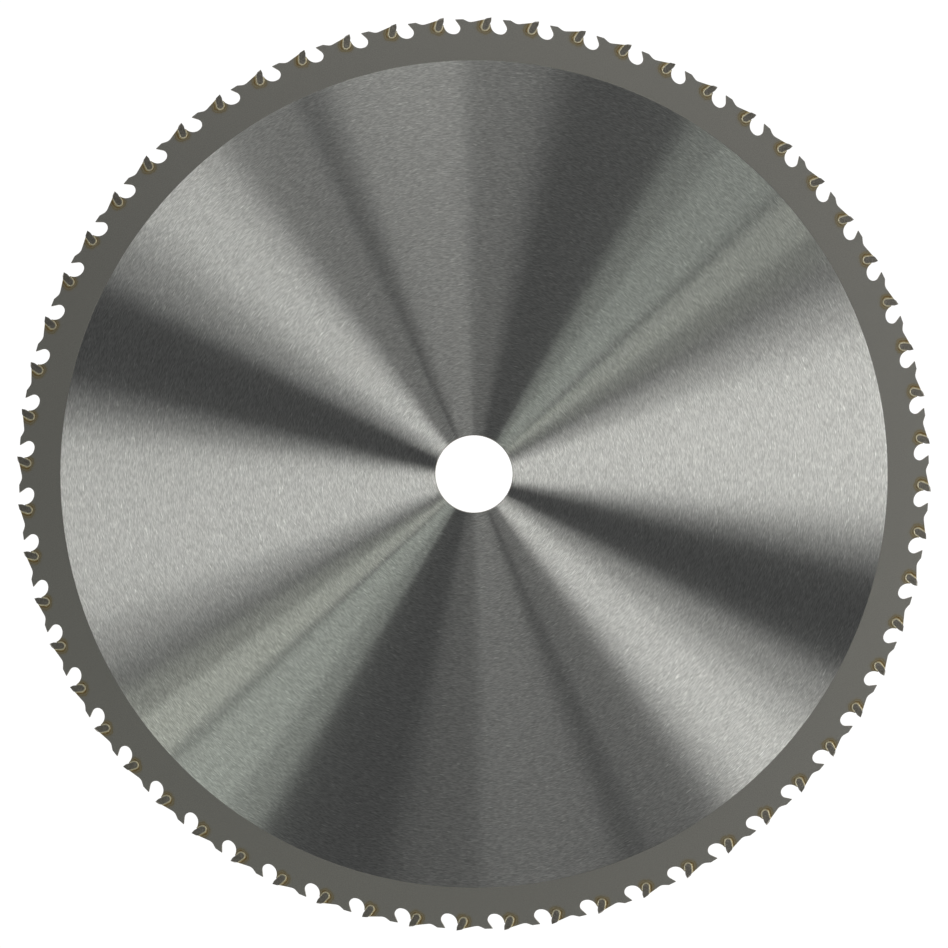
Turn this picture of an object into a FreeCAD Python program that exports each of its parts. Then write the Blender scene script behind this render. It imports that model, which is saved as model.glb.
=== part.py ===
import FreeCAD
import Part
import Sketcher
import math
import os

# Carbide-tipped circular saw blade, 355 mm across with a 30 mm bore and 60 teeth.
# A laser-cut steel plate carries a carbide tip brazed into a seat behind each gullet.
# Trapezoid and flat tips take turns round the rim, which is the triple-chip grind.
# The blade lies in the XY plane with the bore along +Z and its mid-thickness at z = 0.
# Seen from +Z the cutting edges lead clockwise, and the first trapezoid edge is on +X.

# Each size in millimetres or degrees, with what it measures
SIZES = (
    ("blade_diameter", 355.0, "across the cutting edges of the trapezoid teeth"),
    ("tooth_count", 60, "teeth round the rim"),
    ("plate_thickness", 2.0, "steel plate"),
    ("bore_diameter", 30.0, "arbor bore"),
    ("bore_chamfer", 0.2, "broken edge of the bore on each face"),
    ("shoulder_drop", 0.9, "chip-limiting shoulder below the cutting circle"),
    ("shoulder_offset", 4.4, "shoulder corner ahead of the cutting edge"),
    ("shoulder_width", 3.05, "top of the shoulder, round the plate"),
    ("shoulder_fall", 26.5, "slope behind the shoulder, from the tangent there"),
    ("valley_radius", 3.3, "hollow between the shoulder and the next tooth"),
    ("back_drop", 0.92, "steel behind the tip, below the cutting circle"),
    ("back_slope", 14.0, "rise of the tooth's back towards its tip"),
    ("gullet_depth", 6.64, "gullet root below the cutting circle"),
    ("gullet_root_radius", 2.25, "round root under the shoulder"),
    ("gullet_front_radius", 3.95, "wider curve from the lip down to the root"),
    ("gullet_flank", 32.5, "lean of the straight flank under the shoulder"),
    ("kerf", 2.4, "width that the flat teeth cut"),
    ("hook_angle", 22.0, "forward lean of the tip"),
    ("land_angle", 2.5, "lean of the strengthened land below the cutting edge"),
    ("land_height", 1.46, "radial height of that land"),
    ("tip_thickness", 2.4, "carbide from its rake face to its back"),
    ("tip_length", 5.8, "carbide along the hook, from cutting edge to foot"),
    ("tip_corner", 0.7, "corners taken off the tip's foot and its seat"),
    ("heel_drop", 0.87, "top of the tip's back below the cutting circle"),
    ("clearance_angle", 11.0, "top clearance behind the cutting edge"),
    ("heel_angle", 35.0, "steeper facet at the heel of the tip"),
    ("flat_drop", 0.2, "flat teeth below the trapezoid teeth"),
    ("corner_bevel", 0.45, "bevel on both corners of a trapezoid tooth"),
    ("side_relief", 1.0, "side clearance that narrows a tip towards its back"),
    ("side_taper", 0.75, "side clearance that narrows a tip towards the bore"),
    ("rake_length", 2.84, "bare rake face, from the cutting edge to the steel lip"),
    ("lip_width", 0.3, "top of the steel lip in front of the tip"),
    ("braze_gap", 0.1, "room for braze between the tip and the lip"),
)

# Lengths and angles that several outlines share, worked out from the sheet
CUT_RADIUS = "Sizes.blade_diameter / 2"
SHOULDER_RADIUS = f"({CUT_RADIUS} - Sizes.shoulder_drop)"
RUNOUT = "Sizes.shoulder_drop / 2"
BLANK_RADIUS = f"{SHOULDER_RADIUS} + {RUNOUT}"
CLEAR_RADIUS = f"{CUT_RADIUS} + {RUNOUT}"
PITCH = "360 deg / Sizes.tooth_count"
SHOULDER_AHEAD = f"asin(Sizes.shoulder_offset / {SHOULDER_RADIUS})"
SHOULDER_SPAN = f"Sizes.shoulder_width / {SHOULDER_RADIUS} * 180 deg / pi"
SHOULDER_START = f"({PITCH} - {SHOULDER_AHEAD})"
SHOULDER_END = f"({PITCH} - {SHOULDER_AHEAD} - {SHOULDER_SPAN})"
RAKE_AHEAD = (
    "(Sizes.land_height * sin(Sizes.hook_angle - Sizes.land_angle)"
    " / cos(Sizes.land_angle))"
)
BACK_BEHIND = f"(Sizes.tip_thickness - {RAKE_AHEAD})"
CORE_BEHIND = f"Sizes.tip_thickness / 2 - {RAKE_AHEAD}"

doc = FreeCAD.newDocument("saw_blade")

# The sheet of driving sizes
sheet = doc.addObject("Spreadsheet::Sheet", "Sizes")
for row, (alias, number, meaning) in enumerate(SIZES, start=1):
    sheet.set(f"A{row}", alias)
    sheet.set(f"B{row}", str(number))
    sheet.set(f"C{row}", meaning)
    sheet.setAlias(f"B{row}", alias)
doc.recompute()


def value(expression):
    """The number that an expression in the sheet's sizes gives now."""
    result = sheet.evalExpression(expression)
    return float(getattr(result, "Value", result))


def point(x, y):
    return FreeCAD.Vector(x, y, 0.0)


def polar(radius, degrees):
    angle = math.radians(degrees)
    return point(radius * math.cos(angle), radius * math.sin(angle))


def hook_point(along, behind):
    """So far in from the cutting edge along the hook, and so far behind that line."""
    lean = math.radians(value("Sizes.hook_angle"))
    x = value(CUT_RADIUS) - along * math.cos(lean) + behind * math.sin(lean)
    y = along * math.sin(lean) + behind * math.cos(lean)
    return point(x, y)


def hook_point_at(x, behind):
    """The point at that x on the line so far behind the hook line."""
    lean = math.radians(value("Sizes.hook_angle"))
    along = (value(CUT_RADIUS) - x + behind * math.sin(lean)) / math.cos(lean)
    return hook_point(along, behind)


def crossing(start, degrees, other, other_degrees):
    """Where a line through one point, at that angle, crosses one through another."""
    way = polar(1, degrees)
    other_way = polar(1, other_degrees)
    between = other - start
    turn = way.x * other_way.y - way.y * other_way.x
    run = (between.x * other_way.y - between.y * other_way.x) / turn
    return start + way * run


# Sketches and their dimensions

def new_body(name):
    body = doc.addObject("PartDesign::Body", name)
    body.Label = name
    return body


def origin_part(body, role):
    for feature in body.Origin.OriginFeatures:
        if feature.Role == role:
            return feature
    raise ValueError(role)


def new_sketch(body, name):
    """A sketch on the middle plane of the blade."""
    sketch = body.newObject("Sketcher::SketchObject", name)
    sketch.AttachmentSupport = [(origin_part(body, "XY_Plane"), "")]
    sketch.MapMode = "FlatFace"
    return sketch


def relate(sketch, kind, *where):
    sketch.addConstraint(Sketcher.Constraint(kind, *where))


def bind(sketch, dimensions):
    """Named dimensions of a sketch, each tied to the sheet."""
    for name, expression, kind, *where in dimensions:
        number = value(expression)
        if kind == "Angle":
            number = math.radians(number)
        index = sketch.addConstraint(Sketcher.Constraint(kind, *where, number))
        sketch.renameConstraint(index, name)
        sketch.setExpression("Constraints." + name, expression)


def add_line(sketch, start, end):
    return sketch.addGeometry(Part.LineSegment(start, end), False)


def add_arc(sketch, centre, start, end):
    """An arc about the centre, anticlockwise from its start, which is its end 1."""
    begin = math.atan2(start.y - centre.y, start.x - centre.x)
    finish = math.atan2(end.y - centre.y, end.x - centre.x)
    if finish < begin:
        finish += 2 * math.pi
    circle = Part.Circle(centre, FreeCAD.Vector(0, 0, 1), (start - centre).Length)
    return sketch.addGeometry(Part.ArcOfCircle(circle, begin, finish), False)


def add_chain(sketch, points):
    """Straight edges through the points, each joined to the one before."""
    lines = [add_line(sketch, start, end) for start, end in zip(points, points[1:])]
    for first, second in zip(lines, lines[1:]):
        relate(sketch, "Coincident", first, 2, second, 1)
    return lines


def add_mark(sketch, name, x_expression, y_expression):
    """A construction point placed from the sheet, for edges to be measured from."""
    place = point(value(x_expression), value(y_expression))
    mark = sketch.addGeometry(Part.Point(place), True)
    dimensions = (
        (name + "_x", x_expression, "DistanceX", -1, 1, mark, 1),
        (name + "_y", y_expression, "DistanceY", -1, 1, mark, 1),
    )
    bind(sketch, dimensions)
    return mark


def add_hook_outline(sketch, front_gap, front_top, back_top):
    """Five edges down a tip's front, round its foot and up its back, with that gap in
    front of it, and the mark of the cutting edge that they are set out from."""
    front = -value(RAKE_AHEAD) - value(front_gap)
    back = value(BACK_BEHIND)
    foot = value("Sizes.tip_length")
    corner = value("Sizes.tip_corner")
    corners = [
        front_top,
        hook_point(foot - corner, front),
        hook_point(foot, front + corner),
        hook_point(foot, back - corner),
        hook_point(foot - corner, back),
        back_top,
    ]
    lines = add_chain(sketch, corners)
    front_edge, front_corner, foot_edge, back_corner, back_edge = lines
    edge = add_mark(sketch, "edge", CUT_RADIUS, "0")
    relate(sketch, "Perpendicular", front_edge, foot_edge)
    relate(sketch, "Parallel", front_edge, back_edge)
    leg = "Sizes.tip_corner"
    width = f"Sizes.tip_thickness + {front_gap}"
    dimensions = (
        ("hook", "180 - Sizes.hook_angle", "Angle", front_edge),
        ("front", f"{RAKE_AHEAD} + {front_gap}", "Distance", edge, 1, front_edge),
        ("foot", "Sizes.tip_length", "Distance", edge, 1, foot_edge),
        ("width", width, "Distance", back_edge, 1, front_edge),
        ("front_corner_above", leg, "Distance", front_corner, 1, foot_edge),
        ("front_corner_behind", leg, "Distance", foot_edge, 1, front_edge),
        ("back_corner_ahead", leg, "Distance", back_corner, 1, back_edge),
        ("back_corner_above", leg, "Distance", back_edge, 1, foot_edge),
    )
    bind(sketch, dimensions)
    return lines, edge


# Saw plate: hardened sheet steel, laser cut, with its seats open to the gullets

def disc_blank(body):
    """A flat disc with the arbor bore, whose edges are broken on both faces."""
    sketch = new_sketch(body, "disc_outline")
    upward = FreeCAD.Vector(0, 0, 1)
    centre = FreeCAD.Vector(0, 0, 0)
    rim = sketch.addGeometry(Part.Circle(centre, upward, value(BLANK_RADIUS)), False)
    bore_radius = value("Sizes.bore_diameter / 2")
    bore = sketch.addGeometry(Part.Circle(centre, upward, bore_radius), False)
    for circle in (rim, bore):
        relate(sketch, "Coincident", circle, 3, -1, 1)
    dimensions = (
        ("rim", BLANK_RADIUS, "Radius", rim),
        ("bore", "Sizes.bore_diameter / 2", "Radius", bore),
    )
    bind(sketch, dimensions)
    disc = body.newObject("PartDesign::Pad", "disc")
    disc.Profile = sketch
    disc.SideType = "Symmetric"
    disc.setExpression("Length", "Sizes.plate_thickness")
    doc.recompute()
    rims = []
    for number, edge in enumerate(disc.Shape.Edges, start=1):
        if edge.isClosed() and abs(edge.Curve.Radius - bore_radius) < 0.001:
            rims.append(f"Edge{number}")
    broken = body.newObject("PartDesign::Chamfer", "bore_chamfers")
    broken.Base = (disc, rims)
    broken.setExpression("Size", "Sizes.bore_chamfer")


def tooth_top_sketch(body):
    """From the tip back along the top of the rim: the tooth's straight back, the valley,
    the slope up behind it and the flat top of the next shoulder."""
    clear = point(value(CLEAR_RADIUS), 0)
    rise = 90 + value("Sizes.back_slope")
    fall = 90 + value(SHOULDER_END) - value("Sizes.shoulder_fall")
    radius = value("Sizes.valley_radius")
    crest = hook_point_at(value(CUT_RADIUS) - value("Sizes.back_drop"), value(BACK_BEHIND))
    shoulder_end = polar(value(SHOULDER_RADIUS), value(SHOULDER_END))
    shoulder_start = polar(value(SHOULDER_RADIUS), value(SHOULDER_START))
    top = math.degrees(math.atan2(*reversed((shoulder_start - shoulder_end)[:2])))
    valley = crossing(crest, rise, shoulder_end, fall)
    reach = radius * math.tan(math.radians((rise - fall) / 2))
    back_end = valley - polar(reach, rise)
    slope_start = valley + polar(reach, fall)
    hollow_centre = slope_start + polar(radius, fall - 90)
    beyond = point(0, shoulder_start.y + value(RUNOUT))
    top_end = crossing(shoulder_end, top, beyond, 0)
    sketch = new_sketch(body, "tooth_top_outline")
    slope, shoulder, side, opening, back = add_chain(
        sketch,
        [
            slope_start,
            shoulder_end,
            top_end,
            point(clear.x, top_end.y),
            crossing(crest, rise, clear, 90),
            back_end,
        ],
    )
    hollow = add_arc(sketch, hollow_centre, slope_start, back_end)
    end_mark = add_mark(
        sketch,
        "shoulder_end",
        f"{SHOULDER_RADIUS} * cos({SHOULDER_END})",
        f"{SHOULDER_RADIUS} * sin({SHOULDER_END})",
    )
    start_mark = add_mark(
        sketch,
        "shoulder_start",
        f"{SHOULDER_RADIUS} * cos({SHOULDER_START})",
        f"{SHOULDER_RADIUS} * sin({SHOULDER_START})",
    )
    crest_mark = add_mark(
        sketch,
        "crest",
        f"{CUT_RADIUS} - Sizes.back_drop",
        f"Sizes.back_drop * tan(Sizes.hook_angle) + {BACK_BEHIND} / cos(Sizes.hook_angle)",
    )
    relate(sketch, "Tangent", back, 2, hollow, 2)
    relate(sketch, "Tangent", hollow, 1, slope, 1)
    relate(sketch, "Horizontal", side)
    relate(sketch, "Vertical", opening)
    relate(sketch, "Coincident", slope, 2, end_mark, 1)
    relate(sketch, "PointOnObject", start_mark, 1, shoulder)
    relate(sketch, "PointOnObject", crest_mark, 1, back)
    slope_angle = f"90 deg + {SHOULDER_END} - Sizes.shoulder_fall * 1 deg"
    dimensions = (
        ("opening", CLEAR_RADIUS, "DistanceX", -1, 1, opening, 1),
        ("side", RUNOUT, "DistanceY", start_mark, 1, side, 1),
        ("valley", "Sizes.valley_radius", "Radius", hollow),
        ("back", "90 + Sizes.back_slope", "Angle", back),
        ("slope", slope_angle, "Angle", slope),
    )
    bind(sketch, dimensions)
    return sketch


def seat_sketch(body):
    """The seat for a tip: tight at its back and foot, with room for braze in front."""
    clear = value(CLEAR_RADIUS)
    ahead = value(f"{RAKE_AHEAD} + Sizes.braze_gap")
    front_top = hook_point_at(clear, -ahead)
    back_top = hook_point_at(clear, value(BACK_BEHIND))
    sketch = new_sketch(body, "seat_outline")
    edges, _ = add_hook_outline(sketch, "Sizes.braze_gap", front_top, back_top)
    opening = add_line(sketch, back_top, front_top)
    relate(sketch, "Coincident", edges[-1], 2, opening, 1)
    relate(sketch, "Coincident", opening, 2, edges[0], 1)
    relate(sketch, "Vertical", opening)
    bind(sketch, [("opening", CLEAR_RADIUS, "DistanceX", -1, 1, opening, 1)])
    return sketch


def gullet_sketch(body):
    """The gullet in front of a tip: the lip, a wide front curve, a tighter root and a
    straight flank that leans back under the shoulder."""
    lean = value("Sizes.gullet_flank")
    root_radius = value("Sizes.gullet_root_radius")
    front_radius = value("Sizes.gullet_front_radius")
    rake = value("Sizes.rake_length")
    core_behind = value(CORE_BEHIND)
    lip_ahead = "Sizes.tip_thickness / 2 + Sizes.braze_gap + Sizes.lip_width"
    root_x = f"{CUT_RADIUS} - Sizes.gullet_depth + Sizes.gullet_root_radius"
    clear = point(value(CLEAR_RADIUS), 0)
    lip_tip = hook_point(rake, core_behind - value(lip_ahead))
    shoulder = polar(value(SHOULDER_RADIUS), -value(SHOULDER_AHEAD))

    # The root circle touches the flank, and the front circle touches the root circle
    # from outside it and passes through the lip.
    beside_flank = shoulder + polar(root_radius, lean + 90)
    root = crossing(beside_flank, lean, point(value(root_x), 0), 90)
    flank_start = root + polar(root_radius, lean - 90)
    difference = front_radius - root_radius
    to_lip = lip_tip - root
    span = to_lip.Length
    along = (span**2 + difference**2 - front_radius**2) / (2 * span)
    aside = math.sqrt(difference**2 - along**2)
    way = to_lip * (1 / span)
    front = root + way * along + point(way.y, -way.x) * aside
    blend = root + (root - front) * (root_radius / difference)

    sketch = new_sketch(body, "gullet_outline")
    flank, opening, core, lip = add_chain(
        sketch,
        [
            flank_start,
            crossing(shoulder, lean, clear, 90),
            hook_point_at(clear.x, core_behind),
            hook_point(rake, core_behind),
            lip_tip,
        ],
    )
    front_curve = add_arc(sketch, front, lip_tip, blend)
    root_curve = add_arc(sketch, root, blend, flank_start)
    edge = add_mark(sketch, "edge", CUT_RADIUS, "0")
    corner = add_mark(
        sketch,
        "shoulder",
        f"{SHOULDER_RADIUS} * cos({SHOULDER_AHEAD})",
        "-Sizes.shoulder_offset",
    )
    relate(sketch, "Coincident", lip, 2, front_curve, 1)
    relate(sketch, "Tangent", front_curve, 2, root_curve, 1)
    relate(sketch, "Tangent", root_curve, 2, flank, 1)
    relate(sketch, "Vertical", opening)
    relate(sketch, "Perpendicular", core, lip)
    relate(sketch, "PointOnObject", corner, 1, flank)
    dimensions = (
        ("opening", CLEAR_RADIUS, "DistanceX", -1, 1, opening, 1),
        ("hook", "180 - Sizes.hook_angle", "Angle", core),
        ("core", CORE_BEHIND, "Distance", edge, 1, core),
        ("rake", "Sizes.rake_length", "Distance", edge, 1, lip),
        ("lip", lip_ahead, "Distance", lip, 2, core),
        ("flank", "Sizes.gullet_flank", "Angle", flank),
        ("root", "Sizes.gullet_root_radius", "Radius", root_curve),
        ("front", "Sizes.gullet_front_radius", "Radius", front_curve),
        ("depth", root_x, "DistanceX", -1, 1, root_curve, 3),
    )
    bind(sketch, dimensions)
    return sketch


def cut_through(body, sketch, name):
    """A cut right through the plate, both ways from the middle plane."""
    cut = body.newObject("PartDesign::Pocket", name)
    cut.Profile = sketch
    cut.SideType = "Symmetric"
    cut.Type = "ThroughAll"
    return cut


def saw_plate():
    """The disc, with the cuts of one tooth repeated round it."""
    body = new_body("saw_plate")
    disc_blank(body)
    cuts = [
        cut_through(body, tooth_top_sketch(body), "tooth_top"),
        cut_through(body, seat_sketch(body), "tip_seat"),
        cut_through(body, gullet_sketch(body), "gullet"),
    ]
    teeth = body.newObject("PartDesign::PolarPattern", "teeth")
    teeth.Originals = cuts
    teeth.Axis = (origin_part(body, "Z_Axis"), [""])
    teeth.Angle = 360
    teeth.setExpression("Occurrences", "Sizes.tooth_count")
    body.Tip = teeth
    return body


# Carbide tips: a leaning bar with a land, top clearance, a heel facet and ground sides

def tip_sketch(body, drop):
    """A tip seen from its side, with its edge that far below the cutting circle."""
    land_lean = 180 - value("Sizes.land_angle")
    clearance = 90 + value("Sizes.clearance_angle")
    heel_lean = 90 + value("Sizes.heel_angle")
    front = hook_point(0, -value(RAKE_AHEAD))
    reach = point(value(CUT_RADIUS) - value(drop), 0)
    land_top = crossing(hook_point(0, 0), land_lean, reach, 90)
    land_foot = crossing(land_top, land_lean, front, 180 - value("Sizes.hook_angle"))
    heel = hook_point_at(value(CUT_RADIUS) - value("Sizes.heel_drop"), value(BACK_BEHIND))
    top_end = crossing(land_top, clearance, heel, heel_lean)
    sketch = new_sketch(body, body.Name + "_outline")
    edges, edge = add_hook_outline(sketch, "0", land_foot, heel)
    land = add_line(sketch, land_top, land_foot)
    top = add_line(sketch, land_top, top_end)
    facet = add_line(sketch, top_end, heel)
    relate(sketch, "Coincident", land, 2, edges[0], 1)
    relate(sketch, "Coincident", land, 1, top, 1)
    relate(sketch, "Coincident", top, 2, facet, 1)
    relate(sketch, "Coincident", facet, 2, edges[-1], 2)
    relate(sketch, "PointOnObject", edge, 1, land)
    dimensions = (
        ("land", "180 - Sizes.land_angle", "Angle", land),
        ("clearance", "90 + Sizes.clearance_angle", "Angle", top),
        ("heel", "90 + Sizes.heel_angle", "Angle", facet),
        ("reach", f"{CUT_RADIUS} - {drop}", "DistanceX", -1, 1, land, 1),
        ("heel_top", f"{CUT_RADIUS} - Sizes.heel_drop", "DistanceX", -1, 1, facet, 2),
    )
    bind(sketch, dimensions)
    return sketch


def grind_sides(body):
    """Each side ground to one plane that leans in towards the back and the bore. The
    grinding block's face turns about the corner of a flat tooth's cutting edge."""
    size = "(8 * Sizes.tip_length)"
    corner = f"vector({CUT_RADIUS} - Sizes.flat_drop; 0; Sizes.kerf / 2)"
    lean = "rotation(0; -Sizes.side_taper; -Sizes.side_relief)"
    centring = f"vector(-{size} / 2; -{size} / 2; 0)"
    block = body.newObject("PartDesign::SubtractiveBox", body.Name + "_side")
    for side in ("Length", "Width", "Height"):
        block.setExpression(side, size)
    placing = f"placement({corner}; {lean}) * placement({centring}; rotation(0; 0; 0))"
    block.setExpression("Placement", placing)
    sides = body.newObject("PartDesign::Mirrored", body.Name + "_sides")
    sides.Originals = [block]
    sides.MirrorPlane = (origin_part(body, "XY_Plane"), [""])
    body.Tip = sides
    doc.recompute()
    return sides


def top_side_edges(shape, drop):
    """Names of the two edges where the top clearance face meets the ground sides."""
    lean = math.radians(value("Sizes.clearance_angle"))
    reach = value(CUT_RADIUS) - value(drop)
    names = []
    for number, edge in enumerate(shape.Edges, start=1):
        ends = [vertex.Point for vertex in edge.Vertexes]
        one_side = ends[0].z * ends[1].z > 0
        heights = [(end.x - reach) * math.cos(lean) + end.y * math.sin(lean) for end in ends]
        if one_side and max(abs(height) for height in heights) < 0.01:
            names.append(f"Edge{number}")
    return names


def carbide_tip(name, drop, bevelled):
    """A tip pressed over width and ground, with both corners bevelled if it is a
    trapezoid tooth."""
    body = new_body(name)
    blank = body.newObject("PartDesign::Pad", name + "_blank")
    blank.Profile = tip_sketch(body, drop)
    blank.SideType = "Symmetric"
    blank.setExpression("Length", "2 * Sizes.kerf")
    doc.recompute()
    sides = grind_sides(body)
    if bevelled:
        bevels = body.newObject("PartDesign::Chamfer", name + "_bevels")
        bevels.Base = (sides, top_side_edges(sides.Shape, drop))
        bevels.setExpression("Size", "Sizes.corner_bevel")
        body.Tip = bevels
    return body


# Placing the tips: tooth 0 is on +X and the others follow clockwise

def at_tooth(source, tooth):
    """The same tip again, turned about the bore to that tooth."""
    copy = doc.addObject("App::Link", f"{source.Name}_{tooth:02d}")
    copy.LinkedObject = source
    turn = f"rotation(vector(0; 0; 1); -{tooth} * {PITCH})"
    copy.setExpression("Placement", f"placement(vector(0; 0; 0); {turn})")
    return copy


def tip_pairs():
    """A trapezoid tip and the flat tip that follows it in each pair, round the rim."""
    trapezoid = carbide_tip("trapezoid_tip", "0", bevelled=True)
    flat = carbide_tip("flat_tip", "Sizes.flat_drop", bevelled=False)
    teeth = range(int(value("Sizes.tooth_count")))
    tips = [at_tooth((trapezoid, flat)[tooth % 2], tooth) for tooth in teeth]
    pairs = []
    for number, first in enumerate(teeth[::2], start=1):
        name = f"tip_pair_{number:02d}"
        pair = doc.addObject("Part::Compound", name)
        pair.Label = name
        pair.Links = tips[first : first + 2]
        pairs.append(pair)
    return pairs


def check(subparts):
    """Stops if any object failed or any sub-part isn't a valid solid."""
    for item in doc.Objects:
        if "Invalid" in item.State or "Error" in item.State:
            raise RuntimeError(f"{item.Label} failed: {item.State}")
        if item.TypeId == "Sketcher::SketchObject" and not item.FullyConstrained:
            raise RuntimeError(f"{item.Label} isn't fully constrained")
    for item in subparts:
        shape = item.Shape
        if shape.isNull() or not shape.isValid() or not shape.Solids:
            raise RuntimeError(f"{item.Label} has no valid solid")


subparts = [saw_plate()] + tip_pairs()
doc.recompute()
check(subparts)
os.makedirs("parts", exist_ok=True)
for item in subparts:
    item.Shape.exportStep(f"parts/{item.Label}.step")
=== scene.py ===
import bpy
import math
import random
from mathutils import Matrix, Vector, noise


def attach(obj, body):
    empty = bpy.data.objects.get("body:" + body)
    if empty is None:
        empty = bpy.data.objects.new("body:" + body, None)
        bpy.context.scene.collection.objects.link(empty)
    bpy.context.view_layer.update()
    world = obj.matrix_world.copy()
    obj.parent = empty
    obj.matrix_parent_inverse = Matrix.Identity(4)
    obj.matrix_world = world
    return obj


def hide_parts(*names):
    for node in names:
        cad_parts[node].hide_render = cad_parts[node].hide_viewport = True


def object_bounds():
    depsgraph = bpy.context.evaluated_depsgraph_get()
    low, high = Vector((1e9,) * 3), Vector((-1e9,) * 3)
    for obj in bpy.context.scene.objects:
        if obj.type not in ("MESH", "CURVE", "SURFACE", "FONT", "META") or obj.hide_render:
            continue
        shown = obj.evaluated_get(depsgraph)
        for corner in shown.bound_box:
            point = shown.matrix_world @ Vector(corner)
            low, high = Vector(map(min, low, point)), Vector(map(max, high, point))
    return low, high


# Circular saw blade with brazed carbide tips. It lies flat round the Z axis, and its
# cutting edges lead clockwise as seen from above.
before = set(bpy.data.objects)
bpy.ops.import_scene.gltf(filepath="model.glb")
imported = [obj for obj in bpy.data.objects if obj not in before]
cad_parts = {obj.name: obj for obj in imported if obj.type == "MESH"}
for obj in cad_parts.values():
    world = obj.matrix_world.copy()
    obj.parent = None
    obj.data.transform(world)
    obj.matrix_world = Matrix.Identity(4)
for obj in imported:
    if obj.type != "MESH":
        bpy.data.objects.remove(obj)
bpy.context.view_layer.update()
MM = 0.001
random.seed(41)
noise.seed_set(41)


# Saw plate: one sheet of hardened steel, cut by laser with its bore, gullets and seats.
# The web is ground in circles on both faces and stands a hair proud of the blasted rim.
PLATE_FACE = 1.0 * MM
BORE_RADIUS = 15.0 * MM
BORE_CHAMFER = 0.2 * MM
WEB_RADIUS = 160.5 * MM
RIM_SINK = 0.025 * MM
CUT_RADIUS = 177.5 * MM
EDGE_ROUNDING = 0.08 * MM
GRIND_CENTRE = (0.05 * MM, -1.4 * MM, 0.0)
TOOTH_COUNT = 60
PITCH = 2 * math.pi / TOOTH_COUNT
HOOK = math.radians(22.0)


def alone(piece):
    """Selects that piece and nothing else."""
    bpy.ops.object.select_all(action="DESELECT")
    piece.select_set(True)
    bpy.context.view_layer.objects.active = piece


def copy_of_node(node, name):
    """A piece with that CAD node's shape, its points merged and its flats whole."""
    piece = bpy.data.objects.new(name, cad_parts[node].data.copy())
    bpy.context.collection.objects.link(piece)
    piece.data.name = name
    piece.data.materials.clear()
    alone(piece)
    bpy.ops.object.mode_set(mode="EDIT")
    bpy.ops.mesh.select_all(action="SELECT")
    bpy.ops.mesh.remove_doubles(threshold=0.001 * MM)
    bpy.ops.mesh.dissolve_limited(angle_limit=math.radians(0.2))
    bpy.ops.mesh.normals_make_consistent(inside=False)
    bpy.ops.object.mode_set(mode="OBJECT")
    return piece


def turned_profile(name, profile, steps):
    """A ring with that closed profile of (radius, height), turned about the bore."""
    mesh = bpy.data.meshes.new(name)
    ring = [(radius, 0.0, height) for radius, height in profile]
    mesh.from_pydata(ring, [(i, (i + 1) % len(ring)) for i in range(len(ring))], [])
    piece = bpy.data.objects.new(name, mesh)
    bpy.context.collection.objects.link(piece)
    alone(piece)
    bpy.ops.object.mode_set(mode="EDIT")
    bpy.ops.mesh.select_all(action="SELECT")
    bpy.ops.mesh.spin(steps=steps, angle=2 * math.pi, center=(0, 0, 0), axis=(0, 0, 1))
    bpy.ops.mesh.select_all(action="SELECT")
    bpy.ops.mesh.remove_doubles(threshold=0.001 * MM)
    bpy.ops.mesh.normals_make_consistent(inside=False)
    bpy.ops.object.mode_set(mode="OBJECT")
    return piece


def cut_away(piece, cutter):
    """Cuts the cutter's shape out of the piece, and removes the cutter."""
    cut = piece.modifiers.new("cut", "BOOLEAN")
    cut.operation = "DIFFERENCE"
    cut.solver = "EXACT"
    cut.object = cutter
    alone(piece)
    bpy.ops.object.modifier_apply(modifier=cut.name)
    bpy.data.objects.remove(cutter)


plate = copy_of_node("saw_plate", "ground_saw_plate")
outside_blade = CUT_RADIUS + 5 * MM
above_face = PLATE_FACE + 0.2 * MM
rim_cut = [
    (WEB_RADIUS - 0.3 * MM, above_face),
    (WEB_RADIUS - 0.3 * MM, PLATE_FACE + 0.001 * MM),
    (WEB_RADIUS, PLATE_FACE - 1.5 * RIM_SINK),
    (WEB_RADIUS + 0.35 * MM, PLATE_FACE - RIM_SINK),
    (outside_blade, PLATE_FACE - RIM_SINK),
    (outside_blade, above_face),
]
for side in (1, -1):
    profile = [(radius, side * height) for radius, height in rim_cut]
    cut_away(plate, turned_profile("rim_cut", profile, 360))
wide = BORE_RADIUS + 3 * BORE_CHAMFER
bore_cut = [
    (1 * MM, -PLATE_FACE - 2 * BORE_CHAMFER),
    (wide, -PLATE_FACE - 2 * BORE_CHAMFER),
    (BORE_RADIUS, -PLATE_FACE + BORE_CHAMFER),
    (BORE_RADIUS, PLATE_FACE - BORE_CHAMFER),
    (wide, PLATE_FACE + 2 * BORE_CHAMFER),
    (1 * MM, PLATE_FACE + 2 * BORE_CHAMFER),
]
cut_away(plate, turned_profile("bore_cut", bore_cut, 180))


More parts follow.
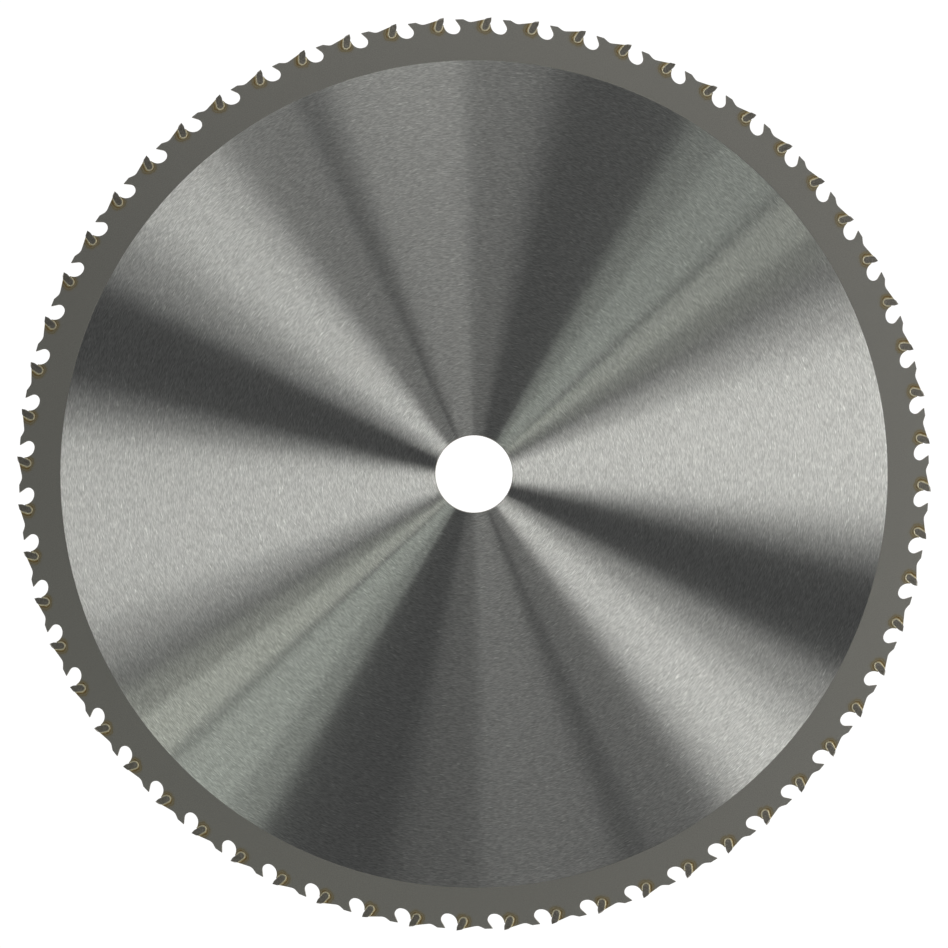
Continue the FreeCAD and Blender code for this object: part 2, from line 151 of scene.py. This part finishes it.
class Shade:
    """A socket of a material's node. Python's arithmetic on it adds more nodes."""

    def __init__(self, tree, output=None):
        self.tree = tree
        self.output = output

    def node(self, kind, settings=None, inputs=None, output=0):
        added = self.tree.nodes.new(kind)
        for name, setting in (settings or {}).items():
            if name == "stops":
                stops = added.color_ramp.elements
                for stop, (place, colour) in enumerate(setting):
                    if stop >= len(stops):
                        stops.new(1.0)
                    stops[stop].position = place
                    stops[stop].color = (*colour, 1.0)
            else:
                setattr(added, name, setting)
        for name, given in (inputs or {}).items():
            if isinstance(given, Shade):
                self.tree.links.new(given.output, added.inputs[name])
            else:
                added.inputs[name].default_value = given
        return Shade(self.tree, added.outputs[output])

    def maths(self, operation, *values):
        inputs = dict(enumerate(values))
        return self.node("ShaderNodeMath", {"operation": operation}, inputs)

    def __add__(self, other):
        return self.maths("ADD", self, other)

    def __radd__(self, other):
        return self.maths("ADD", other, self)

    def __sub__(self, other):
        return self.maths("SUBTRACT", self, other)

    def __rsub__(self, other):
        return self.maths("SUBTRACT", other, self)

    def __mul__(self, other):
        return self.maths("MULTIPLY", self, other)

    def __rmul__(self, other):
        return self.maths("MULTIPLY", other, self)

    def step(self, low, high):
        """0 below low, 1 above high, and smooth between them."""
        settings = {"interpolation_type": "SMOOTHSTEP"}
        inputs = {"Value": self, "From Min": low, "From Max": high}
        return self.node("ShaderNodeMapRange", settings, inputs)

    def blend(self, first, second):
        """The first colour where this is 0 and the second where it is 1."""
        first, second = [
            colour if isinstance(colour, Shade) else (*colour, 1.0)
            for colour in (first, second)
        ]
        inputs = {0: self, 6: first, 7: second}
        return self.node("ShaderNodeMix", {"data_type": "RGBA"}, inputs, output=2)

    def vector(self, x, y, z):
        return self.node("ShaderNodeCombineXYZ", None, {"X": x, "Y": y, "Z": z})

    def grain(self, place, scale, detail=2.0, roughness=0.5):
        """Noise from 0 to 1 at that place, with that many cells to the unit."""
        inputs = {"Vector": place, "Scale": scale}
        inputs.update({"Detail": detail, "Roughness": roughness})
        return self.node("ShaderNodeTexNoise", None, inputs)


def new_material(name, **constants):
    """A Principled material, its shader, and a Shade to build on."""
    material = bpy.data.materials.new(name)
    material.use_nodes = True
    tree = material.node_tree
    shader = tree.nodes["Principled BSDF"]
    for socket, given in constants.items():
        shader.inputs[socket.replace("_", " ")].default_value = given
    return material, shader, Shade(tree)


def feed(shader, socket, shade):
    shade.tree.links.new(shade.output, shader.inputs[socket])


def place_in_mm(start):
    """x, y and z in millimetres from the centre of the bore."""
    place = start.node("ShaderNodeTexCoord", None, None, "Object")
    split = "ShaderNodeSeparateXYZ"
    return [place.node(split, None, {0: place}, axis) * 1000.0 for axis in "XYZ"]


def bumped(start, height, distance):
    """The normal of a surface with that height, in units of that distance in metres."""
    inputs = {"Height": height, "Distance": distance, "Strength": 1.0}
    return start.node("ShaderNodeBump", None, inputs)


def ground_web_material():
    """Steel ground in circles: short scratches round the bore, some of them crossing.
    Fine even scratches shine along a narrow streak, and coarser ones all round it."""
    brightest, streak_part = 0.97, 0.72
    steel = {"Metallic": 1.0, "Anisotropic": 1.0, "Anisotropic_Rotation": 0.25}
    material, shader, start = new_material("ground_web", **steel)
    x, y, z = place_in_mm(start)
    radius = start.maths("SQRT", x * x + y * y)
    angle = start.maths("ARCTAN2", y, x)
    patches = start.grain(start.vector(x, y, z), 0.12, detail=3.0)
    wander = start.grain(start.vector(x, y, z), 0.06, detail=1.0) * 1.2
    # Each kind's slope at 100 mm from the centre, its thickness and its length in mm; the
    # last kind's dashes are painted glints
    kinds = ((0.0, 0.28, 2.4), (0.17, 0.26, 2.0), (-0.19, 0.29, 2.1), (0.07, 0.3, 3.2))
    scratches = []
    for slope, thickness, length in kinds:
        across = (radius + angle * slope * 100.0 + wander) * (1 / thickness)
        run = start.vector(across, x * (1 / length), y * (1 / length))
        scratches.append(start.grain(run, 1.0, detail=1.0, roughness=0.6))
    fine, rising, falling, painted_glints = scratches
    outer = radius.step(15.0, 70.0)
    tone = fine * (0.6 - outer * 0.2) + (rising + falling) * (0.2 + outer * 0.1)
    shine = tone.step(0.34, 0.66) * 0.32 + 0.47
    # Sparse dashes lift the colour nearly to white: painted glints
    shine = shine + painted_glints.step(0.61, 0.75) * (brightest - shine)
    # The streak's colour is even, so its share of the mix carries its part of the shine
    streaked = shine * (streak_part / brightest)
    others = shine.maths("DIVIDE", shine * (1 - streak_part), 1.0 - streaked)
    relief = bumped(start, tone, 0.003 * MM)
    feed(shader, "Base Color", others.blend((0.0, 0.0, 0.0), (1.0, 1.0, 0.98)))
    feed(shader, "Roughness", patches * 0.06 + 0.31)
    feed(shader, "Normal", relief)
    inputs = {
        "Color": (brightest, brightest, 0.95, 1.0),
        "Roughness": 0.295,
        "Anisotropy": 0.92,
        "Normal": relief,
    }
    streak = start.node("ShaderNodeBsdfAnisotropic", None, inputs)
    coarse = Shade(start.tree, shader.outputs[0])
    both = start.node("ShaderNodeMixShader", None, {0: streaked, 1: coarse, 2: streak})
    surface = start.tree.nodes["Material Output"].inputs["Surface"]
    start.tree.links.new(both.output, surface)
    return material


def tooth_place(start, x, y):
    """Millimetres in from the nearest cutting edge along the hook, and behind it."""
    radius = start.maths("SQRT", x * x + y * y)
    turn = start.maths("ARCTAN2", y, x) * (1 / PITCH) + 0.25
    angle = (turn.maths("FRACT", turn) - 0.25) * PITCH
    ahead = CUT_RADIUS / MM - radius * angle.maths("COSINE", angle)
    behind = radius * angle.maths("SINE", angle)
    lean, upright = math.sin(HOOK), math.cos(HOOK)
    return ahead * upright + behind * lean, behind * upright - ahead * lean


def blasted_rim_material():
    """Matt blasted steel, with the heat colours of brazing round each tip."""
    tip_middle, half_width, tip_foot, margin = 0.95, 0.75, 4.95, 0.7
    material, shader, start = new_material("blasted_rim", Metallic=1.0)
    x, y, z = place_in_mm(start)
    along, behind = tooth_place(start, x, y)
    aside = start.maths("ABSOLUTE", behind - tip_middle) - half_width
    aside = aside.maths("MAXIMUM", aside, 0.0)
    below = start.maths("MAXIMUM", along - tip_foot, 0.0)
    distance = start.maths("SQRT", aside * aside + below * below) - margin
    mottle = start.grain(start.vector(x, y, z), 0.9, detail=3.0)
    heat = distance + (mottle - 0.5) * 1.2
    base = (0.222, 0.217, 0.203)
    tints = [
        (0.0, (0.38, 0.31, 0.17)),
        (0.12, (0.14, 0.085, 0.03)),
        (0.17, (0.21, 0.17, 0.10)),
        (0.28, (0.235, 0.21, 0.15)),
        (0.35, (0.19, 0.155, 0.095)),
        (0.42, (0.22, 0.205, 0.17)),
        (0.6, base),
    ]
    # The tints' places are in units of 4 mm
    ramp = start.node("ShaderNodeValToRGB", {"stops": tints}, {"Fac": heat * 0.25})
    grit = start.grain(start.vector(x, y, z), 3.0, detail=3.0, roughness=0.7)
    shadow = grit.step(0.2, 0.8).blend((0.78, 0.78, 0.78), (1.22, 1.22, 1.22))
    inputs = {0: 1.0, 6: ramp, 7: shadow}
    settings = {"data_type": "RGBA", "blend_type": "MULTIPLY"}
    feed(shader, "Base Color", start.node("ShaderNodeMix", settings, inputs, output=2))
    feed(shader, "Roughness", grit * 0.1 + 0.5)
    feed(shader, "Normal", bumped(start, grit, 0.02 * MM))
    return material


def cut_edge_material():
    """Walls left by the laser: dark scale with fine stripes across the sheet."""
    material, shader, start = new_material("laser_cut_edge", Metallic=1.0)
    x, y, z = place_in_mm(start)
    stripes = start.grain(start.vector(x * 6.0, y * 6.0, z * 0.3), 1.0)
    feed(shader, "Base Color", stripes.blend((0.20, 0.18, 0.15), (0.38, 0.35, 0.30)))
    feed(shader, "Roughness", stripes * 0.2 + 0.4)
    feed(shader, "Normal", bumped(start, stripes, 0.03 * MM))
    return material


alone(plate)
bpy.ops.object.mode_set(mode="EDIT")
bpy.ops.mesh.select_all(action="DESELECT")
bpy.ops.object.mode_set(mode="OBJECT")
for edge in plate.data.edges:
    ends = [plate.data.vertices[index].co for index in edge.vertices]
    on_face = all(abs(abs(end.z) - PLATE_FACE + RIM_SINK) < 0.002 * MM for end in ends)
    outside = all(end.xy.length > WEB_RADIUS + 5 * MM for end in ends)
    edge.select = on_face and outside
bpy.ops.object.mode_set(mode="EDIT")
bpy.context.tool_settings.mesh_select_mode = (False, True, False)
bpy.ops.mesh.bevel(offset=EDGE_ROUNDING, segments=1)
bpy.ops.object.mode_set(mode="OBJECT")
for material in (ground_web_material(), blasted_rim_material(), cut_edge_material()):
    plate.data.materials.append(material)
# The shader's streaks run round the middle of the texture space. The grinding's circles
# aren't quite concentric, so that middle lies beside the bore's centre.
plate.data.use_auto_texspace = False
plate.data.texspace_location = GRIND_CENTRE
plate.data.texspace_size = (CUT_RADIUS, CUT_RADIUS, PLATE_FACE)
WEB, RIM, WALL = range(3)
for face in plate.data.polygons:
    flat = abs(face.normal.z) > 0.9
    inside = face.center.xy.length < WEB_RADIUS
    face.material_index = (WEB if inside else RIM) if flat else WALL
bpy.ops.object.shade_smooth_by_angle(angle=math.radians(25))
for face in plate.data.polygons:
    face.use_smooth = face.material_index == WALL
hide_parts("saw_plate")
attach(plate, "root")


# Carbide tips: pressed and sintered tungsten carbide, ground on every face that shows.
# Trapezoid and flat ones take turns, and each pair repeats the first one round the rim.
TIP_ROUNDING = 0.03 * MM


def carbide_material():
    """Sintered carbide with the fine lines of a grinding wheel across each tip."""
    material, shader, start = new_material("ground_carbide", Metallic=1.0)
    x, y, z = place_in_mm(start)
    along, behind = tooth_place(start, x, y)
    lines = start.grain(start.vector(along * 14.0, behind * 1.5, z * 2.0), 1.0)
    blotch = start.grain(start.vector(x, y, z), 1.1)
    colour = lines.step(0.3, 0.7).blend((0.20, 0.185, 0.16), (0.37, 0.35, 0.315))
    colour = blotch.step(0.45, 0.75).blend(colour, (0.23, 0.212, 0.182))
    feed(shader, "Base Color", colour)
    feed(shader, "Roughness", lines * 0.1 + 0.32)
    feed(shader, "Normal", bumped(start, lines, 0.025 * MM))
    return material


first_pair = copy_of_node("tip_pair_01", "carbide_tips_01")
first_pair.data.materials.append(carbide_material())
rounding = first_pair.modifiers.new("rounding", "BEVEL")
rounding.width = TIP_ROUNDING
rounding.segments = 1
rounding.limit_method = "ANGLE"
rounding.angle_limit = math.radians(20)
alone(first_pair)
bpy.ops.object.modifier_apply(modifier=rounding.name)
bpy.ops.object.shade_smooth_by_angle(angle=math.radians(15))
for number in range(TOOTH_COUNT // 2):
    pair = first_pair
    if number:
        name = f"carbide_tips_{number + 1:02d}"
        pair = bpy.data.objects.new(name, first_pair.data.copy())
        bpy.context.collection.objects.link(pair)
        pair.data.name = name
        pair.data.transform(Matrix.Rotation(-2 * number * PITCH, 4, "Z"))
    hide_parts(f"tip_pair_{number + 1:02d}")
    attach(pair, "root")


# Braze: silver solder that fills the joint and stands round each tip as a small bead.
# The bead runs down a tip's back, round its foot and up to the lip, on both faces.
BEAD_WIDTH = 0.64 * MM
BEAD_HEIGHT = 0.18 * MM
WAVER = 0.06 * MM
WAVE_LENGTH = 1.5 * MM


def at_hook(along, behind, height=0.0):
    """The place that far in along the hook of the first tooth, and behind it."""
    lean, upright = math.sin(HOOK), math.cos(HOOK)
    x = CUT_RADIUS / MM - along * upright + behind * lean
    y = along * lean + behind * upright
    return Vector((x * MM, y * MM, height))


def braze_material():
    """Silver solder, straw coloured from the heat and dull where flux sat on it."""
    material, shader, start = new_material("silver_braze", Metallic=1.0)
    x, y, z = place_in_mm(start)
    flux = start.grain(start.vector(x, y, z), 1.6, detail=3.0)
    feed(shader, "Base Color", flux.blend((0.82, 0.77, 0.60), (0.46, 0.40, 0.26)))
    feed(shader, "Roughness", flux * 0.2 + 0.34)
    feed(shader, "Normal", bumped(start, flux, 0.05 * MM))
    return material


def as_mesh(name, curve):
    piece = bpy.data.objects.new(name, curve)
    bpy.context.collection.objects.link(piece)
    alone(piece)
    bpy.ops.object.convert(target="MESH")
    return bpy.context.view_layer.objects.active


def bead(side):
    """A bead of solder along the joint on one face, as a flattened bent rod."""
    # Along the hook and behind it, in millimetres
    route = [
        (1.95, 2.04),
        (2.7, 2.10),
        (3.8, 2.12),
        (4.9, 2.10),
        (5.45, 1.85),
        (5.9, 1.40),
        (6.0, 0.85),
        (5.95, 0.25),
        (5.6, -0.20),
        (5.05, -0.62),
        (4.2, -0.74),
        (3.15, -0.72),
    ]
    curve = bpy.data.curves.new("bead", "CURVE")
    curve.dimensions = "3D"
    spline = curve.splines.new("NURBS")
    spline.points.add(len(route) - 1)
    for point, (along, behind) in zip(spline.points, route):
        point.co = (*at_hook(along, behind), 1.0)
        point.radius = random.uniform(0.85, 1.15)
    spline.order_u = 3
    spline.use_endpoint_u = True
    spline.resolution_u = 3
    curve.bevel_depth = BEAD_WIDTH / 2
    curve.bevel_resolution = 2
    curve.use_fill_caps = True
    piece = as_mesh("bead", curve)
    face = PLATE_FACE - RIM_SINK
    flatten = Matrix.Diagonal((1, 1, 2 * BEAD_HEIGHT / BEAD_WIDTH, 1))
    piece.data.transform(Matrix.Translation((0, 0, side * face)) @ flatten)
    return piece


def film():
    """A film of solder, 0.1 mm thick, in the gap between a tip's front and the lip."""
    outline = [
        (2.86, -0.4875),
        (5.1, -0.4875),
        (5.8, 0.2125),
        (5.8, 0.1125),
        (5.1, -0.5875),
        (2.86, -0.5875),
    ]
    curve = bpy.data.curves.new("film", "CURVE")
    curve.dimensions = "2D"
    curve.fill_mode = "BOTH"
    spline = curve.splines.new("POLY")
    spline.points.add(len(outline) - 1)
    for point, (along, behind) in zip(spline.points, outline):
        point.co = (*at_hook(along, behind), 1.0)
    spline.use_cyclic_u = True
    curve.extrude = PLATE_FACE - RIM_SINK
    return as_mesh("film", curve)


parts = [bead(1), bead(-1), film()]
alone(parts[0])
for part in parts[1:]:
    part.select_set(True)
bpy.ops.object.join()
first_seam = bpy.context.view_layer.objects.active
first_seam.name = first_seam.data.name = "braze_seam_01"
bpy.ops.object.mode_set(mode="EDIT")
bpy.ops.mesh.select_all(action="SELECT")
bpy.ops.mesh.remove_doubles(threshold=0.001 * MM)
bpy.ops.mesh.normals_make_consistent(inside=False)
bpy.ops.object.mode_set(mode="OBJECT")
bpy.ops.object.shade_smooth_by_angle(angle=math.radians(40))
first_seam.data.materials.append(braze_material())
still = [vertex.co.copy() for vertex in first_seam.data.vertices]
for number in range(TOOTH_COUNT):
    seam = first_seam
    if number:
        name = f"braze_seam_{number + 1:02d}"
        seam = bpy.data.objects.new(name, first_seam.data.copy())
        bpy.context.collection.objects.link(seam)
        seam.data.name = name
    turn = Matrix.Rotation(-number * PITCH, 3, "Z")
    for vertex, place in zip(seam.data.vertices, still):
        waver = noise.noise_vector(place / WAVE_LENGTH + Vector((0, 0, 7.0 * number)))
        waver.z = 0.0
        vertex.co = turn @ (place + waver * WAVER)
    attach(seam, "root")


# The table, the lights and the camera
WHITE_GLOW = 1.05


def floor_material():
    material = bpy.data.materials.new("white_table")
    material.use_nodes = True
    tree = material.node_tree
    tree.nodes.clear()
    glow = tree.nodes.new("ShaderNodeEmission")
    glow.inputs["Strength"].default_value = WHITE_GLOW
    output = tree.nodes.new("ShaderNodeOutputMaterial")
    tree.links.new(glow.outputs[0], output.inputs["Surface"])
    return material


table_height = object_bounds()[0].z
bpy.ops.mesh.primitive_plane_add(size=8.0, location=(0, 0, table_height - 0.01 * MM))
table = bpy.context.view_layer.objects.active
table.name = "table"
table.data.materials.append(floor_material())

# From above, the picture's right lies this far anticlockwise from the frame's X axis
ROLL = math.radians(2.2)
SOFTBOX_RISE = 0.75
SOFTBOX_HEIGHT = 0.65


def softbox(name, first, last, away, glow, colour):
    """A soft light that spans those degrees clockwise from the right of the picture.
    Its distance in metres is level, and its rise and height are shares of it."""
    light = bpy.data.lights.new(name, "AREA")
    light.shape = "RECTANGLE"
    light.size = 2 * away * math.tan(math.radians(last - first) / 2)
    light.size_y = SOFTBOX_HEIGHT * away
    light.energy = glow * math.pi * light.size * light.size_y
    light.color = colour
    box = bpy.data.objects.new(name, light)
    bpy.context.collection.objects.link(box)
    azimuth = ROLL - math.radians((first + last) / 2)
    place = away * Vector((math.cos(azimuth), math.sin(azimuth), SOFTBOX_RISE))
    box.location = place
    box.rotation_mode = "QUATERNION"
    box.rotation_quaternion = place.to_track_quat("Z", "Y")
    box.visible_camera = False


WARM_WHITE = (1.0, 1.0, 0.955)
GREENISH = (0.92, 1.0, 0.895)
BEIGE = (0.955, 1.0, 0.88)
softbox("key_wide", 332, 370.5, 2.6, 4.1, WARM_WHITE)
softbox("key_middle", 339, 366, 2.6, 3.4, WARM_WHITE)
softbox("key_core", 345, 360, 2.6, 2.9, WARM_WHITE)
softbox("right_wide", 29, 52.5, 2.4, 3.1, WARM_WHITE)
softbox("right_middle", 35, 50.5, 2.4, 2.5, WARM_WHITE)
softbox("right_core", 39, 48, 2.4, 1.9, WARM_WHITE)
softbox("window_wide", 121.3, 136.4, 0.9, 2.1, GREENISH)
softbox("window_core", 127, 136.4, 0.9, 1.4, GREENISH)
softbox("window_pane", 137.8, 144, 0.9, 2.15, BEIGE)
softbox("window_edge", 137.8, 148.5, 0.9, 2.0, BEIGE)
softbox("far_strip", 230, 244.4, 0.7, 1.46, WARM_WHITE)
softbox("far_wide", 246.2, 281, 0.5, 0.95, WARM_WHITE)
softbox("far_core", 250, 268.5, 0.5, 1.1, WARM_WHITE)
softbox("fill", 255, 330, 0.5, 0.27, WARM_WHITE)

world = bpy.data.worlds.new("studio")
bpy.context.scene.world = world
world.use_nodes = True
nodes, links = world.node_tree.nodes, world.node_tree.links
nodes.clear()
room = nodes.new("ShaderNodeBackground")
room.inputs["Color"].default_value = (0.976, 1.0, 1.015, 1.0)
room.inputs["Strength"].default_value = 0.1
white = nodes.new("ShaderNodeBackground")
white.inputs["Strength"].default_value = WHITE_GLOW
seen = nodes.new("ShaderNodeLightPath")
choice = nodes.new("ShaderNodeMixShader")
output = nodes.new("ShaderNodeOutputWorld")
links.new(seen.outputs["Is Camera Ray"], choice.inputs[0])
links.new(room.outputs[0], choice.inputs[1])
links.new(white.outputs[0], choice.inputs[2])
links.new(choice.outputs[0], output.inputs["Surface"])

CAMERA_HEIGHT = 1.2
FRAME_WIDTH = 0.3682
camera_data = bpy.data.cameras.new("camera")
camera_data.lens = camera_data.sensor_width * CAMERA_HEIGHT / FRAME_WIDTH
camera = bpy.data.objects.new("camera", camera_data)
bpy.context.collection.objects.link(camera)
camera.location = (0, 0, CAMERA_HEIGHT)
camera.rotation_euler = (0, 0, ROLL)
bpy.context.scene.camera = camera
bpy.context.scene.view_settings.view_transform = "Standard"
